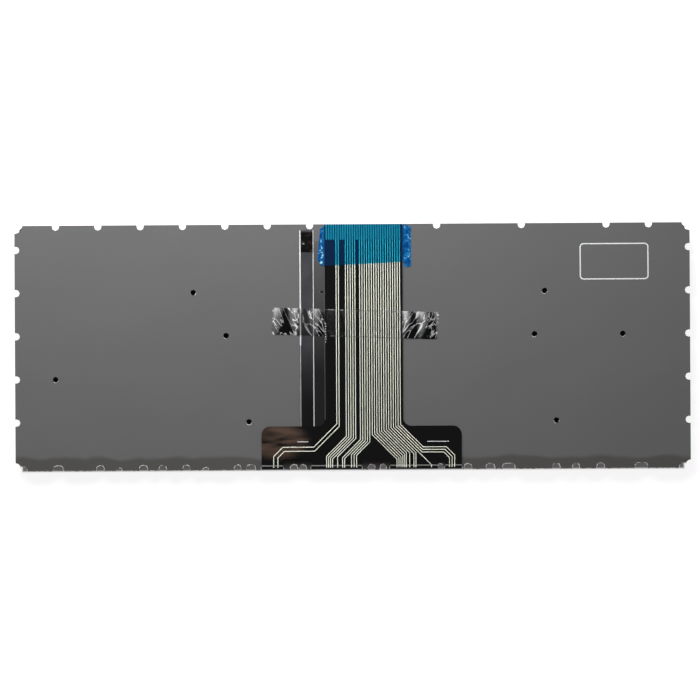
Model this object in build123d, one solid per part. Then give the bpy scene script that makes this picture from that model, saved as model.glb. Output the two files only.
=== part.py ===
from build123d import *
from collections import namedtuple
import math
import os

# Keyboard of a laptop computer, lying on its keys with its back up.
# Millimetres. X runs along the key rows, Y towards the function row, Z out of the back.
# The origin lies under the middle of the plate, on the surface that the key crowns rest on.

# Key field, with the rows counted from the rear
KEY_PITCH = 19.05
ROW_PITCH = 18.35
KEY_GAP = 3.0
FIELD_PITCHES = 15
SIDE_MARGIN = 0.625
FRONT_MARGIN = 2.35
FUNCTION_ROW_DEPTH = 10.4
FUNCTION_KEYS = 16
FUNCTION_GAP = 3.6
REAR_MARGIN = 0.6
ARROW_SPLIT = 0.9
ROW_LINE_NAMES = ("number", "upper", "home", "lower", "space")

# Key caps, which press towards the plate
CAP_HEIGHT = 2.0
CAP_CROWN = 0.9
CAP_WALL = 0.8
CAP_CORNER = 1.2
CAP_TAPER = 0.5
KEY_TRAVEL = 1.6
PRESS_CLEARANCE = 0.35

# Scissor links and rubber domes under the caps
LINK_BAR = 0.8
LINK_THICK = 0.7
LINK_PLAY = 0.3
LINK_SEAT = 0.05
CAP_PER_LINK = 50.0
DOME_FOOT = 2.4
DOME_CROWN = 0.55
DOME_SIDES = 6

# Layers, from the keys to the back
FILM = 0.2
PLATE = 0.5
GUIDE = 0.4
SHEET = 0.25
LAYER_INSET = 3.0

# Stake notches round the edge; front ones as (place in key pitches, width, depth)
NOTCH_WIDTH = 3.0
NOTCH_DEPTH = 2.1
NOTCH_ROUND = 1.4
NOTCH_RELIEF = 0.2
REAR_NOTCH_PITCH = 18.0
REAR_NOTCHES = (-7, -6, -5, -4, -3, -2, -1, 2, 4, 6, 7)
REAR_CORNER = 3.4
FRONT_CORNER = 2.2
FRONT_CORNER_STEP = 2.9
CORNER_SIDES = 12
FRONT_NOTCHES = [
    (-6.58, 4.4, 2.3),
    (-5.64, 3.4, 2.3),
    (-5.22, 2.6, 1.3),
    (-4.68, 3.7, 2.3),
    (-4.25, 3.3, 2.3),
    (-3.72, 3.4, 2.3),
    (-3.29, 2.9, 1.3),
    (-2.58, 3.1, 2.3),
    (-2.28, 4.0, 2.3),
    (-1.32, 3.4, 2.3),
    (-1.12, 3.1, 2.3),
    (0.41, 3.1, 2.3),
    (0.67, 2.7, 2.3),
    (1.95, 2.4, 2.3),
    (2.56, 3.4, 2.3),
    (3.06, 3.9, 2.3),
    (3.47, 5.5, 2.3),
    (4.53, 3.4, 2.3),
    (4.97, 3.1, 2.3),
    (5.52, 3.4, 2.3),
    (6.43, 5.6, 2.3),
]

# Screw holes and the peg hole as (place in key pitches, row line)
SCREW_HOLE = 2.2
HOLE_RELIEF = 0.12
SCREW_HOLES = [
    (-3.55, "upper"),
    (4.29, "upper"),
    (-2.82, "home"),
    (4.06, "home"),
    (6.03, "home"),
    (-6.63, "lower"),
    (-2.32, "space"),
    (4.54, "space"),
]
PEG_HOLE = 1.3
PEG_PLACE = (-0.68, "upper")
HOLE_WINDOW = 3.6
HOLE_SIDES = 10

# Tail of the circuit film, with its legs as (middle, width)
CONTACTS = 32
CONTACT_PITCH = 1.0
TAIL_EDGE = 0.5
TAIL_X = 4.8
TAIL_SETBACK = 0.25
LEGS = [(-34.35, 9.1), (-7.1, 21.4), (25.8, 20.2), (42.55, 7.1)]
FOOT_REAR = 18.65
FOOT_FRONT = 4.65
FOOT_ROUND = 3.6
FOLD_SETBACK = 0.15
FOLD_CLEARANCE = 0.1
FOLD_FLATS = 5
LEG_CLEARANCE = 0.3
STIFFENER = 0.18
STIFFENER_DEPTH = 7.0
LAY_GAP = 0.04

# Backlight
LED_LINE = 13.75
LED_FILM = 0.12
LED_FILM_DEPTH = 4.0
LED_PITCH = 18.0
LEDS = 6
LED_SIZE = (3.0, 1.0, 0.24)
SLOT_CLEARANCE = 0.3
RIBBON = 0.15
RIBBON_X = -19.4
RIBBON_WIDTH = 6.0
RIBBON_SETBACK = 2.55
RIBBON_RUN = 1.4
RIBBON_PAD = 1.7

# Clear tape over the tail and coloured film over its contacts
TAPE = 0.08
TAPE_X = 1.2
TAPE_Y = 10.0
TAPE_LENGTH = 71.0
TAPE_WIDTH = 11.5
TAPE_TURN = -1.9
COVER = 0.1
COVER_X = 5.15
COVER_WIDTH = 39.7
COVER_DEPTH = 18.1
COVER_SETBACK = 0.1
STEP_RUN = 0.9
STEP_CLEARANCE = 0.45

FIELD_WIDTH = FIELD_PITCHES * KEY_PITCH
PLATE_WIDTH = FIELD_WIDTH + 2 * SIDE_MARGIN
PLATE_DEPTH = FUNCTION_ROW_DEPTH + 5 * ROW_PITCH + FRONT_MARGIN
REAR = PLATE_DEPTH / 2
FRONT = -PLATE_DEPTH / 2
SIDE = PLATE_WIDTH / 2
ROW_LINES = {
    name: REAR - FUNCTION_ROW_DEPTH - row * ROW_PITCH for row, name in enumerate(ROW_LINE_NAMES)
}

Z_FILM = CAP_HEIGHT + KEY_TRAVEL + PRESS_CLEARANCE
Z_PLATE = Z_FILM + FILM
Z_GUIDE = Z_PLATE + PLATE
Z_SHEET = Z_GUIDE + GUIDE
Z_BACK = Z_SHEET + SHEET
Z_TAIL = Z_BACK + max(RIBBON, STIFFENER) + LAY_GAP
Z_TAIL_TOP = Z_TAIL + FILM

FOLD_OUTER = (Z_TAIL_TOP - Z_FILM) / 2
FOLD_INNER = FOLD_OUTER - FILM
FOLD_Y = FRONT + FOLD_SETBACK + FOLD_OUTER
TAIL_WIDTH = CONTACTS * CONTACT_PITCH + 2 * TAIL_EDGE
TAIL_LEFT = TAIL_X - TAIL_WIDTH / 2
TAIL_RIGHT = TAIL_X + TAIL_WIDTH / 2
TAIL_END = REAR - TAIL_SETBACK
LED_Y = FRONT + LED_LINE
UP = (Align.CENTER, Align.CENTER, Align.MIN)

Key = namedtuple("Key", "name x y width depth")


def singles(names):
    """Keys one pitch wide, by name."""
    return [(name, 1.0) for name in names.split()]


TOP_LETTERS = singles("q w e r t y u i o p left_bracket right_bracket")
HOME_LETTERS = singles("a s d f g h j k l semicolon quote")
LOW_LETTERS = singles("z x c v b n m comma period slash")
DIGITS = singles("grave 1 2 3 4 5 6 7 8 9 0 minus equals")
KEY_ROWS = [
    DIGITS + [("backspace", 2.0)],
    [("tab", 1.5)] + TOP_LETTERS + [("backslash", 1.5)],
    [("capitals", 1.75)] + HOME_LETTERS + [("enter", 2.25)],
    [("left_shift", 2.25)] + LOW_LETTERS + [("right_shift", 2.75)],
    [("left_control", 1.5)]
    + singles("function menu left_alt")
    + [("space", 5.5)]
    + singles("right_alt right_control arrow_left arrow_up_down arrow_right"),
]
TYPING = [name for name, _ in DIGITS + TOP_LETTERS + HOME_LETTERS + LOW_LETTERS]
TYPING += ["backslash", "space"]


def key_places():
    """Every key with its middle and cap size. Seen from the back, the rows run from +X to -X."""
    keys = []
    pitch = PLATE_WIDTH / FUNCTION_KEYS
    depth = FUNCTION_ROW_DEPTH - REAR_MARGIN - KEY_GAP / 2
    y = REAR - REAR_MARGIN - depth / 2
    for number in range(FUNCTION_KEYS):
        x = SIDE - (number + 0.5) * pitch
        keys.append(Key(f"function_{number}", x, y, pitch - FUNCTION_GAP, depth))
    for line, row in zip(ROW_LINES.values(), KEY_ROWS):
        edge = FIELD_WIDTH / 2
        y = line - ROW_PITCH / 2
        for name, pitches in row:
            width = pitches * KEY_PITCH - KEY_GAP
            depth = ROW_PITCH - KEY_GAP
            x = edge - pitches * KEY_PITCH / 2
            edge -= pitches * KEY_PITCH
            if name == "arrow_up_down":
                half = (depth - ARROW_SPLIT) / 2
                shift = (half + ARROW_SPLIT) / 2
                keys.append(Key("arrow_up", x, y + shift, width, half))
                keys.append(Key("arrow_down", x, y - shift, width, half))
            else:
                keys.append(Key(name, x, y, width, depth))
    return keys


def frustum(low, high, z_low, z_high):
    """Flat-sided solid between two outlines that have the same number of corners."""
    under = [Vector(x, y, z_low) for x, y in low]
    over = [Vector(x, y, z_high) for x, y in high]
    faces = [Face(Wire.make_polygon(under)), Face(Wire.make_polygon(over))]
    for here in range(len(under)):
        last = here - 1
        faces.append(Face(Wire.make_polygon([under[last], under[here], over[here], over[last]])))
    return Solid(Shell(faces))


def cap_outline(width, depth, corner):
    """Rectangle with cut corners, as points."""
    x = width / 2
    y = depth / 2
    quarter = [(x, y - corner), (x - corner, y)]
    half = quarter + [(-a, b) for a, b in reversed(quarter)]
    return half + [(-a, -b) for a, b in half]


def key_cap(key):
    """Moulded cap, crown down, with cut corners and the hollow that its links fold into."""
    skirt = cap_outline(key.width, key.depth, CAP_CORNER)
    corner = CAP_CORNER - CAP_TAPER * (2 - math.sqrt(2))
    crown = cap_outline(key.width - 2 * CAP_TAPER, key.depth - 2 * CAP_TAPER, corner)
    shell = frustum(crown, skirt, 0, CAP_HEIGHT)
    room = Box(key.width - 2 * CAP_WALL, key.depth - 2 * CAP_WALL, CAP_HEIGHT, align=UP)
    return Pos(key.x, key.y, 0) * (shell - Pos(0, 0, CAP_CROWN) * room)


def link_size(key):
    """Span, width and tilt of the link frames that just fit between a cap and the film."""
    span = key.depth - 2 * (CAP_WALL + LINK_PLAY)
    width = min(key.width, KEY_PITCH - KEY_GAP) - 2 * (CAP_WALL + LINK_PLAY)
    rise = Z_FILM - CAP_CROWN - 2 * LINK_SEAT
    tilt = math.asin(rise / math.hypot(span, LINK_THICK)) - math.atan2(LINK_THICK, span)
    return span, width, math.degrees(tilt)


def link_frame(span, width, tilt):
    """One link with two arms and a crossbar at the end that lies under the crown."""
    link = Box(width, span, LINK_THICK)
    shift = math.copysign(LINK_BAR, tilt)
    link -= Pos(0, shift, 0) * Box(width - 2 * LINK_BAR, span, LINK_THICK)
    return Rot(tilt, 0, 0) * link


def links_of(key):
    """The crossed pairs of frames under one cap, more of them under a wide one."""
    span, width, tilt = link_size(key)
    count = 1 + int(key.width / CAP_PER_LINK)
    outer = link_frame(span, width, tilt)
    inner = link_frame(span, width - 2 * (LINK_BAR + LINK_PLAY), -tilt)
    frames = []
    for number in range(count):
        x = key.x + (number - (count - 1) / 2) * key.width / count
        place = Pos(x, key.y, (CAP_CROWN + Z_FILM) / 2)
        frames += [place * outer, place * inner]
    return frames


def dome_of(key):
    """Collapsing dome that stands on the film inside the frames and carries the crown."""
    span, width, tilt = link_size(key)
    lean = math.radians(tilt)
    room = (span / 2 - LINK_BAR) * math.cos(lean) - LINK_THICK * math.sin(lean) - LINK_PLAY / 2
    radius = min(DOME_FOOT, room)
    turns = [2 * math.pi * side / DOME_SIDES for side in range(DOME_SIDES)]
    foot = [(radius * math.cos(turn), radius * math.sin(turn)) for turn in turns]
    crown = [(x * DOME_CROWN, y * DOME_CROWN) for x, y in foot]
    return Pos(key.x, key.y, 0) * frustum(crown, foot, CAP_CROWN + LINK_SEAT, Z_FILM)


def hole_places():
    """Middles of the screw holes."""
    return [(pitches * KEY_PITCH, ROW_LINES[line]) for pitches, line in SCREW_HOLES]


def notch_sizes():
    """Every notch of the edge as (x, y, turn, width, depth), with the turn that faces it inward."""
    sizes = [(k * REAR_NOTCH_PITCH, REAR, 180, NOTCH_WIDTH, NOTCH_DEPTH) for k in REAR_NOTCHES]
    for line in ROW_LINES.values():
        sizes.append((-SIDE, line, -90, NOTCH_WIDTH, NOTCH_DEPTH))
        sizes.append((SIDE, line, 90, NOTCH_WIDTH, NOTCH_DEPTH))
    for pitches, width, depth in FRONT_NOTCHES:
        sizes.append((pitches * KEY_PITCH, FRONT, 0, width, depth))
    return sizes


def u_notch(width, depth):
    """Notch with a rounded bottom, each round in two flats."""
    half = width / 2
    round_off = min(NOTCH_ROUND, 0.45 * width, depth)
    flat = round_off * (1 - math.sqrt(0.5))
    right = [
        (half, -depth),
        (half, depth - round_off),
        (half - flat, depth - flat),
        (half - round_off, depth),
    ]
    left = [(-x, y) for x, y in reversed(right)]
    return make_face(Polyline(right + left, close=True))


def sheet_notches():
    """Rounded notches of the back sheet."""
    return [Pos(x, y) * Rot(0, 0, turn) * u_notch(w, d) for x, y, turn, w, d in notch_sizes()]


def plate_notches():
    """Square notches of the metal plate, a little larger than those of the sheet."""
    notches = []
    for x, y, turn, width, depth in notch_sizes():
        notch = Rectangle(width + 2 * NOTCH_RELIEF, 2 * (depth + NOTCH_RELIEF))
        notches.append(Pos(x, y) * Rot(0, 0, turn) * notch)
    return notches


def leg_recesses():
    """Cuts in the front edge that let the legs of the film fold round inside the outline."""
    depth = 2 * (FOLD_Y + FOLD_CLEARANCE - FRONT)
    return [Pos(x, FRONT) * Rectangle(w + 2 * LEG_CLEARANCE, depth) for x, w in LEGS]


def corner_cuts():
    """Rounds at the rear corners and stepped double rounds at the front ones, in flats."""
    cuts = []
    for side in (-SIDE, SIDE):
        inward = math.copysign(FRONT_CORNER_STEP, -side)
        front = RegularPolygon(FRONT_CORNER, round(CORNER_SIDES))
        cuts.append(Pos(side, REAR) * RegularPolygon(REAR_CORNER, round(CORNER_SIDES)))
        cuts.append(Pos(side, FRONT + FRONT_CORNER_STEP / 2) * front)
        cuts.append(Pos(side + inward, FRONT) * front)
    return cuts


def peg_hole():
    """Small hole beside the tail."""
    place = Pos(PEG_PLACE[0] * KEY_PITCH, ROW_LINES[PEG_PLACE[1]])
    return [place * RegularPolygon(PEG_HOLE / 2, round(HOLE_SIDES))]


def hole_windows():
    """Square clearances round the holes in the soft layers."""
    places = hole_places() + [(PEG_PLACE[0] * KEY_PITCH, ROW_LINES[PEG_PLACE[1]])]
    return [Pos(x, y) * Rectangle(HOLE_WINDOW, HOLE_WINDOW) for x, y in places]


def draped(line, depth, thick):
    """Film of even thickness laid along a line of (x, z) points, depth long in Y."""
    over = [(x, z + thick) for x, z in reversed(line)]
    side = make_face(Polyline(line + over, close=True))
    return extrude(Plane.XZ * side, depth / 2, both=True)


def back_sheet():
    """Satin sheet that closes the back, with a slit for the backlight ribbon."""
    plan = Rectangle(PLATE_WIDTH, PLATE_DEPTH)
    plan -= sheet_notches() + corner_cuts() + leg_recesses() + peg_hole()
    hole = RegularPolygon(SCREW_HOLE / 2 + HOLE_RELIEF, round(HOLE_SIDES))
    plan -= [Pos(x, y) * hole for x, y in hole_places()]
    slit = Rectangle(RIBBON_WIDTH + 2 * SLOT_CLEARANCE, RIBBON_RUN + 4 * SLOT_CLEARANCE)
    plan -= Pos(RIBBON_X, LED_Y + RIBBON_RUN / 2) * slit
    return Pos(0, 0, Z_SHEET) * extrude(plan, SHEET)


def base_plate():
    """Pressed metal plate that carries the keys; its notches are a little larger and square."""
    plan = Rectangle(PLATE_WIDTH, PLATE_DEPTH)
    plan -= plate_notches() + corner_cuts() + leg_recesses() + peg_hole()
    plan -= [Pos(x, y) * Circle(SCREW_HOLE / 2) for x, y in hole_places()]
    return Pos(0, 0, Z_PLATE) * extrude(plan, PLATE)


def light_guide():
    """Clear sheet between plate and back, with a slot that holds the lamp strip."""
    plan = Rectangle(PLATE_WIDTH - 2 * LAYER_INSET, PLATE_DEPTH - 2 * LAYER_INSET)
    plan -= hole_windows()
    long = LEDS * LED_PITCH + 2 * SLOT_CLEARANCE
    plan -= Pos(0, LED_Y) * Rectangle(long, LED_FILM_DEPTH + 2 * SLOT_CLEARANCE)
    return Pos(0, 0, Z_GUIDE) * extrude(plan, GUIDE)


def led_strip():
    """Film with a row of small lamps along its front edge."""
    strip = Box(LEDS * LED_PITCH, LED_FILM_DEPTH, LED_FILM, align=UP)
    for number in range(LEDS):
        x = (number - (LEDS - 1) / 2) * LED_PITCH
        y = (LED_SIZE[1] - LED_FILM_DEPTH) / 2
        strip += Pos(x, y, LED_FILM) * Box(*LED_SIZE, align=UP)
    return Pos(0, LED_Y, Z_GUIDE) * strip


def backlight_ribbon():
    """Flat cable along the back that dips through the slit onto the lamp strip."""
    pad = Z_GUIDE + LED_FILM
    line = [
        (LED_Y - RIBBON_PAD, pad),
        (LED_Y, pad),
        (LED_Y + RIBBON_RUN, Z_BACK),
        (REAR - RIBBON_SETBACK, Z_BACK),
    ]
    over = [(y, z + RIBBON) for y, z in reversed(line)]
    side = make_face(Polyline(line + over, close=True))
    return Pos(RIBBON_X, 0, 0) * extrude(Plane.YZ * side, RIBBON_WIDTH / 2, both=True)


def folded_leg(middle, width):
    """One leg of the film, from under the plate round the front edge onto the back.
    The hidden inside of the fold is in flats."""
    inner = FRONT + LAYER_INSET
    foot = FRONT + FOOT_FRONT
    turn = (Z_FILM + Z_TAIL_TOP) / 2
    bends = [math.pi * flat / FOLD_FLATS for flat in range(FOLD_FLATS + 1)]
    edges = [
        Line((inner, Z_FILM), (FOLD_Y, Z_FILM)),
        ThreePointArc((FOLD_Y, Z_FILM), (FOLD_Y - FOLD_OUTER, turn), (FOLD_Y, Z_TAIL_TOP)),
        Polyline((FOLD_Y, Z_TAIL_TOP), (foot, Z_TAIL_TOP), (foot, Z_TAIL), (FOLD_Y, Z_TAIL)),
        Polyline([(FOLD_Y - FOLD_INNER * math.sin(a), turn + FOLD_INNER * math.cos(a)) for a in bends]),
        Polyline((FOLD_Y, Z_PLATE), (inner, Z_PLATE), (inner, Z_FILM)),
    ]
    return Pos(middle, 0, 0) * extrude(Plane.YZ * make_face(edges), width / 2, both=True)


def circuit_film():
    """Key circuit under the plate and its tail on the back, joined by the folded legs."""
    plan = Rectangle(PLATE_WIDTH - 2 * LAYER_INSET, PLATE_DEPTH - 2 * LAYER_INSET)
    plan -= hole_windows()
    film = Pos(0, 0, Z_FILM) * extrude(plan, FILM)
    left = LEGS[0][0] - LEGS[0][1] / 2
    right = LEGS[-1][0] + LEGS[-1][1] / 2
    low = FRONT + FOOT_FRONT
    high = FRONT + FOOT_REAR
    foot = Pos((left + right) / 2, (low + high) / 2) * Rectangle(right - left, high - low)
    strip = Pos(TAIL_X, (low + TAIL_END) / 2) * Rectangle(TAIL_WIDTH, TAIL_END - low)
    shape = foot + strip
    rounds = [v for v in shape.vertices() if abs(v.Y - high) < 0.01]
    shape = fillet(rounds, FOOT_ROUND)
    film += Pos(0, 0, Z_TAIL) * extrude(shape, FILM)
    for middle, width in LEGS:
        film += folded_leg(middle, width)
    return film


def tail_stiffener():
    """Backing under the contacts of the tail."""
    backing = Box(TAIL_WIDTH, STIFFENER_DEPTH, STIFFENER, align=UP)
    return Pos(TAIL_X, TAIL_END - STIFFENER_DEPTH / 2, Z_TAIL - STIFFENER) * backing


def clear_tape():
    """Tape that holds ribbon and tail down, stepping over both, set a little askew."""
    left = RIBBON_X - RIBBON_WIDTH / 2 - STEP_CLEARANCE - TAPE_X
    right = RIBBON_X + RIBBON_WIDTH / 2 + STEP_CLEARANCE - TAPE_X
    line = [
        (-TAPE_LENGTH / 2, Z_BACK),
        (left - STEP_RUN, Z_BACK),
        (left, Z_BACK + RIBBON),
        (right, Z_BACK + RIBBON),
        (TAIL_LEFT - STEP_CLEARANCE - TAPE_X, Z_TAIL_TOP),
        (TAIL_RIGHT + STEP_CLEARANCE - TAPE_X, Z_TAIL_TOP),
        (TAIL_RIGHT + STEP_CLEARANCE + STEP_RUN - TAPE_X, Z_BACK),
        (TAPE_LENGTH / 2, Z_BACK),
    ]
    return Pos(TAPE_X, TAPE_Y, 0) * Rot(0, 0, TAPE_TURN) * draped(line, TAPE_WIDTH, TAPE)


def contact_cover():
    """Coloured film over the contacts, stuck to the back on both sides of the tail."""
    line = [
        (COVER_X - COVER_WIDTH / 2, Z_BACK),
        (TAIL_LEFT - STEP_CLEARANCE - STEP_RUN, Z_BACK),
        (TAIL_LEFT - STEP_CLEARANCE, Z_TAIL_TOP),
        (TAIL_RIGHT + STEP_CLEARANCE, Z_TAIL_TOP),
        (TAIL_RIGHT + STEP_CLEARANCE + STEP_RUN, Z_BACK),
        (COVER_X + COVER_WIDTH / 2, Z_BACK),
    ]
    return Pos(0, REAR - COVER_SETBACK - COVER_DEPTH / 2, 0) * draped(line, COVER_DEPTH, COVER)


def solids_of(shapes):
    """One compound of all the solids in a list of shapes."""
    return Compound([solid for shape in shapes for solid in shape.solids()])


KEYS = key_places()
NODES = {f"key_{key.name}": key_cap(key) for key in KEYS if key.name in TYPING}
NODES["control_key_caps"] = solids_of([key_cap(key) for key in KEYS if key.name not in TYPING])
NODES["scissor_links"] = solids_of([frame for key in KEYS for frame in links_of(key)])
NODES["rubber_domes"] = solids_of([dome_of(key) for key in KEYS])
NODES["back_sheet"] = back_sheet()
NODES["base_plate"] = base_plate()
NODES["light_guide"] = light_guide()
NODES["led_strip"] = led_strip()
NODES["backlight_ribbon"] = backlight_ribbon()
NODES["circuit_film"] = circuit_film()
NODES["tail_stiffener"] = tail_stiffener()
NODES["clear_tape"] = clear_tape()
NODES["contact_cover"] = contact_cover()

os.makedirs("parts", exist_ok=True)
for node, shape in NODES.items():
    export_step(shape, f"parts/{node}.step")
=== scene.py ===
import math

import bpy
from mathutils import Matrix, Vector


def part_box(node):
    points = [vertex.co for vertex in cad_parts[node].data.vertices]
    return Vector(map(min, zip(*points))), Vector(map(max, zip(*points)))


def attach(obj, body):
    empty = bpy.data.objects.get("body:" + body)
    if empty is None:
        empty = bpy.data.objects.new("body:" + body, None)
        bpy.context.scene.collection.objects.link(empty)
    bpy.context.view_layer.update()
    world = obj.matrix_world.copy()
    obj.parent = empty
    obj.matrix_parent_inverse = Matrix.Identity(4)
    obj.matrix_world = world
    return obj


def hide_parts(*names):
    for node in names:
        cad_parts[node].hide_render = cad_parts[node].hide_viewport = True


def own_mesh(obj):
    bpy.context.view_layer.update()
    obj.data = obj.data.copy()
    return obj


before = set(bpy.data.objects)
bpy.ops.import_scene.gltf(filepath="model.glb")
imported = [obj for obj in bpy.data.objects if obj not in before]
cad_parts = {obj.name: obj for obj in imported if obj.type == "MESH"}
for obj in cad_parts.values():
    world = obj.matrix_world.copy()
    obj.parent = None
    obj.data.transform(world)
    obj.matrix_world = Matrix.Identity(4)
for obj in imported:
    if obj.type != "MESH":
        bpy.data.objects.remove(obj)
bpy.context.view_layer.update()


# Key caps: thin shells of black ABS, injection moulded with a fine matt grain, a rounded rim and
# a shallow dish in the crown. Each clips onto its own links. The typing keys carry a legend
# moulded in clear plastic, which the lamps shine through; the board lies on their crowns.
MM = 0.001
RIM_ROUND = 0.22 * MM
CORNER_ROUND = 0.35 * MM
DISH_STEPS = ((0.3 * MM, 0.03 * MM), (0.35 * MM, 0.05 * MM), (0.3 * MM, 0.03 * MM))
CROWN_TOLERANCE = 0.01 * MM
FACING_DOWN = -0.99
LEVEL_DOWN = -0.999
CAP_SMOOTH = math.radians(35)
MERGE_DISTANCE = 0.002 * MM
FLAT_ANGLE = math.radians(1)
LEGEND_SIZE = 5.2 * MM
WORD_SIZE = 2.7 * MM
LEGEND_THICK = 0.03 * MM
SIGNS = {
    "grave": "`",
    "minus": "-",
    "equals": "=",
    "left_bracket": "[",
    "right_bracket": "]",
    "backslash": "\\",
    "semicolon": ";",
    "quote": "'",
    "comma": ",",
    "period": ".",
    "slash": "/",
    "space": "",
}
CONTROL_WORDS = (
    ["esc"] + ["f" + str(number) for number in range(1, 13)] + ["print", "insert", "delete"],
    ["backspace"],
    ["tab"],
    ["caps lock", "enter"],
    ["shift", "shift"],
    ["ctrl", "fn", "", "alt", "alt", "ctrl", "<", "^", "v", ">"],
)


def use(piece):
    """Makes the piece the only selected and the active object."""
    bpy.ops.object.select_all(action="DESELECT")
    piece.select_set(True)
    bpy.context.view_layer.objects.active = piece


def pick(piece, kind, wanted):
    """Opens the piece for editing with just the points, edges or faces selected that are wanted."""
    use(piece)
    bpy.ops.object.mode_set(mode="EDIT")
    bpy.ops.mesh.select_mode(type=kind)
    bpy.ops.mesh.select_all(action="DESELECT")
    bpy.ops.object.mode_set(mode="OBJECT")
    mesh = piece.data
    if kind == "VERT":
        for point in mesh.vertices:
            point.select = wanted(point.co)
    elif kind == "EDGE":
        for edge in mesh.edges:
            edge.select = wanted(*[mesh.vertices[end].co for end in edge.vertices])
    else:
        for face in mesh.polygons:
            face.select = wanted(face.center, face.normal)
    bpy.ops.object.mode_set(mode="EDIT")


def close():
    """Ends the editing of the active piece."""
    bpy.ops.object.mode_set(mode="OBJECT")


def copy_of(node, name):
    """A copy of a CAD node with its loose triangles merged into whole faces."""
    piece = bpy.data.objects.new(name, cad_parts[node].data.copy())
    bpy.context.collection.objects.link(piece)
    piece.data.materials.clear()
    pick(piece, "VERT", lambda point: True)
    bpy.ops.mesh.remove_doubles(threshold=MERGE_DISTANCE)
    bpy.ops.mesh.dissolve_limited(angle_limit=FLAT_ANGLE)
    close()
    return piece


def join(pieces, name):
    """Joins pieces into one object of that name."""
    use(pieces[0])
    for piece in pieces:
        piece.select_set(True)
    bpy.ops.object.join()
    pieces[0].name = name
    return pieces[0]


def linear(code):
    """An sRGB hex colour as linear red, green and blue, with full alpha."""
    shares = [int(code[place:place + 2], 16) / 255 for place in (1, 3, 5)]
    return [s / 12.92 if s < 0.04045 else ((s + 0.055) / 1.055) ** 2.4 for s in shares] + [1.0]


def new_material(name):
    """An empty node material."""
    material = bpy.data.materials.new(name)
    material.use_nodes = True
    material.node_tree.nodes.clear()
    return material


def add_node(material, kind, values=None, links=None, **settings):
    """Adds a node: settings are its own properties, values are constants on its sockets, and
    links give what feeds its sockets, an output of another node or a node for its first one."""
    tree = material.node_tree
    new = tree.nodes.new("ShaderNode" + kind)
    for name, value in settings.items():
        setattr(new, name, value)
    for socket, value in (values or {}).items():
        new.inputs[socket].default_value = value
    for socket, source in (links or {}).items():
        output = source.outputs[0] if isinstance(source, bpy.types.Node) else source
        tree.links.new(output, new.inputs[socket])
    return new


def per_mm(size):
    """The texture scale at which one cell of a pattern is size millimetres wide."""
    return 1 / (size * MM)


# ABS from a spark-eroded mould: near black, dull, with a grain that breaks up its highlights.
ABS_GRAIN_MM = 0.35
black_abs = new_material("black_abs_moulded")
place = add_node(black_abs, "TexCoord").outputs["Object"]
grain = add_node(
    black_abs, "TexNoise", {"Scale": per_mm(ABS_GRAIN_MM), "Detail": 3.0}, {"Vector": place}
)
wear = add_node(black_abs, "TexNoise", {"Scale": per_mm(9), "Detail": 2.0}, {"Vector": place})
dull = add_node(black_abs, "MapRange", {"To Min": 0.48, "To Max": 0.62}, {"Value": wear})
tone = add_node(
    black_abs, "Mix", {6: linear("#141416"), 7: linear("#1C1C1E")}, {0: wear}, data_type="RGBA"
)
relief = add_node(black_abs, "Bump", {"Strength": 0.25, "Distance": 0.02 * MM}, {"Height": grain})
shell = add_node(
    black_abs,
    "BsdfPrincipled",
    {"IOR": 1.53},
    {"Base Color": tone.outputs[2], "Roughness": dull, "Normal": relief},
)
add_node(black_abs, "OutputMaterial", links={"Surface": shell})

# Clear polycarbonate of the legends: milky, with the slight unevenness of a second shot.
LEGEND_FLOW_MM = 1.5


def mottled(name, patch_mm, shades, finish):
    """A material that wanders between two shades in patches of that many millimetres, with the
    finish as values on its shader."""
    material = new_material(name)
    place = add_node(material, "TexCoord").outputs["Object"]
    patches = add_node(material, "TexNoise", {"Scale": per_mm(patch_mm)}, {"Vector": place})
    ends = {6: linear(shades[0]), 7: linear(shades[1])}
    tone = add_node(material, "Mix", ends, {0: patches}, data_type="RGBA")
    shell = add_node(material, "BsdfPrincipled", finish, {"Base Color": tone.outputs[2]})
    add_node(material, "OutputMaterial", links={"Surface": shell})
    return material


legend_clear = mottled(
    "milky_polycarbonate", LEGEND_FLOW_MM, ("#C9CBCC", "#E4E5E4"), {"Roughness": 0.35, "IOR": 1.58}
)


def moulded_caps(node, name):
    """The caps of a node with rounded corners and rims and a dish in each crown."""
    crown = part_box(node)[0].z + CROWN_TOLERANCE
    cap = copy_of(node, name)
    pick(cap, "EDGE", lambda a, b: abs(a.z - b.z) > MM and min(a.z, b.z) < crown)
    bpy.ops.mesh.bevel(offset=CORNER_ROUND, segments=2, affect="EDGES")
    close()
    pick(cap, "FACE", lambda middle, normal: normal.z < FACING_DOWN and middle.z < crown)
    bpy.ops.mesh.region_to_loop()
    bpy.ops.mesh.bevel(offset=RIM_ROUND, segments=2, affect="EDGES")
    close()
    pick(cap, "FACE", lambda middle, normal: normal.z < LEVEL_DOWN and middle.z < crown)
    for width, depth in DISH_STEPS:
        bpy.ops.mesh.inset(thickness=width, depth=-depth, use_individual=True)
    close()
    bpy.ops.object.shade_smooth_by_angle(angle=CAP_SMOOTH)
    cap.data.materials.append(black_abs)
    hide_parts(node)
    return cap


def legend(sign, size, x, y, z):
    """A sign as flat raised lettering that reads right from the front, which faces down."""
    bpy.ops.object.select_all(action="DESELECT")
    bpy.ops.object.text_add()
    sign_piece = bpy.context.object
    sign_piece.data.body = sign
    sign_piece.data.size = size
    sign_piece.data.align_x = "CENTER"
    sign_piece.data.align_y = "CENTER"
    sign_piece.data.resolution_u = 3
    sign_piece.data.extrude = LEGEND_THICK / 2
    bpy.ops.object.convert(target="MESH")
    sign_piece.rotation_euler = (0, math.pi, 0)
    sign_piece.location = (x, y, z)
    bpy.ops.object.transform_apply(location=True, rotation=True, scale=True)
    sign_piece.data.materials.append(legend_clear)
    return sign_piece


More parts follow.
